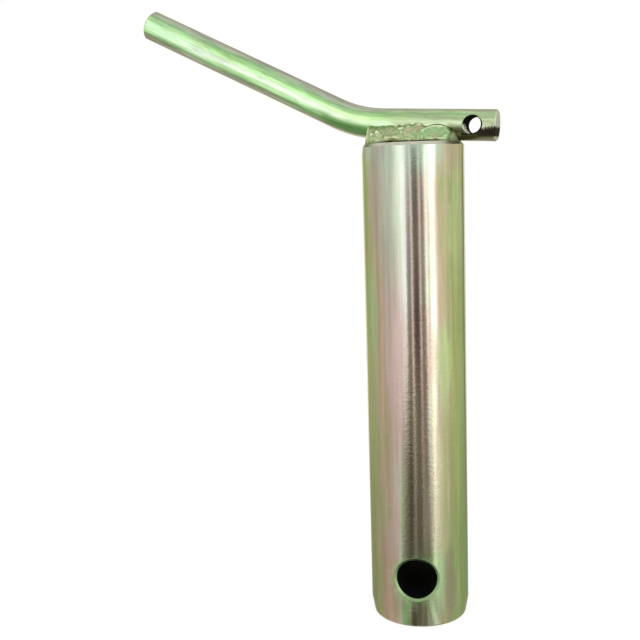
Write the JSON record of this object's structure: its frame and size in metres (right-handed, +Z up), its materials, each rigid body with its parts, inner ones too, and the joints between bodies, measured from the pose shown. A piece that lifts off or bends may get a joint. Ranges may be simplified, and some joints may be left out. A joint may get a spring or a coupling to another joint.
{
  "type": "top link pin",
  "caption": "Round steel link pin with a bent rod handle welded across its head, a linch-pin hole near its tip and a small keeper hole in the handle's short end.",
  "frame": {"origin": "centre of the pin's flat lower end, where it stands", "axes": "+Z up the shank's axis; the handle lies in the XZ plane, its short drilled end towards +X and its long arm rising towards -X"},
  "size_m": [0.1181, 0.0318, 0.1988],
  "materials": {
    "shank_zinc": "turned bar, zinc plated with an iridescent yellow passivate",
    "rod_zinc": "drawn round bar, zinc plated with a greener yellow passivate",
    "weld_zinc": "rippled weld metal under the same passivate, duller"
  },
  "bodies": {
    "root": {"shank": "shank_zinc", "handle_rod": "rod_zinc", "weld_bead_front": "weld_zinc", "weld_bead_back": "weld_zinc"}
  },
  "joints": []
}
